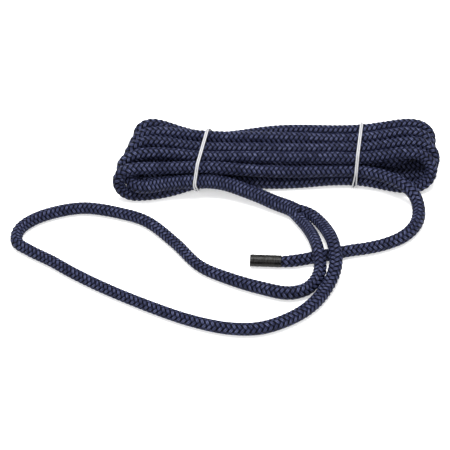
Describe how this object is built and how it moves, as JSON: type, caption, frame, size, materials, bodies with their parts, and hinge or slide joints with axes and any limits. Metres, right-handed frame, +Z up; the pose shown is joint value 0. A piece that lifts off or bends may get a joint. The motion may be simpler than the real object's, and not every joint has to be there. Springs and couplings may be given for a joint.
{
  "type": "coiled dock line",
  "caption": "Double-braid mooring line with a spliced eye and a sleeved bitter end, its spare length wound into a hank held by two sliding bands.",
  "frame": {"origin": "on the floor under the middle of the hank", "axes": "+X along the hank, away from the left band; +Y from the eye towards the back of the hank; +Z up"},
  "size_m": [0.4403, 0.2689, 0.0501],
  "materials": {
    "rope_cover": "navy braided nylon, soft sheen on each stitch",
    "rope_core": "white braided nylon",
    "sleeve": "black shrink sleeve, wrinkled and glossy",
    "fused_end": "melted nylon, dark and rough",
    "band": "white cord, matt"
  },
  "bodies": {
    "line": {"hank_turns": "rope_cover", "splice_neck": "rope_cover", "splice_throat": "rope_cover", "eye_cover": "rope_cover", "eye_core": "rope_core", "tail_cover": "rope_cover", "tail_core": "rope_core", "end_sleeve": "sleeve", "end_plug": "fused_end"},
    "band_left": {"left_band": "band"},
    "band_right": {"right_band": "band"}
  },
  "joints": [
    {"name": "left_band_slide", "type": "slide", "parent": "line", "child": "band_left", "axis": [1, 0, 0], "range_m": [0, 0.012]},
    {"name": "right_band_slide", "type": "slide", "parent": "line", "child": "band_right", "axis": [-1, 0, 0], "range_m": [0, 0.025]}
  ]
}
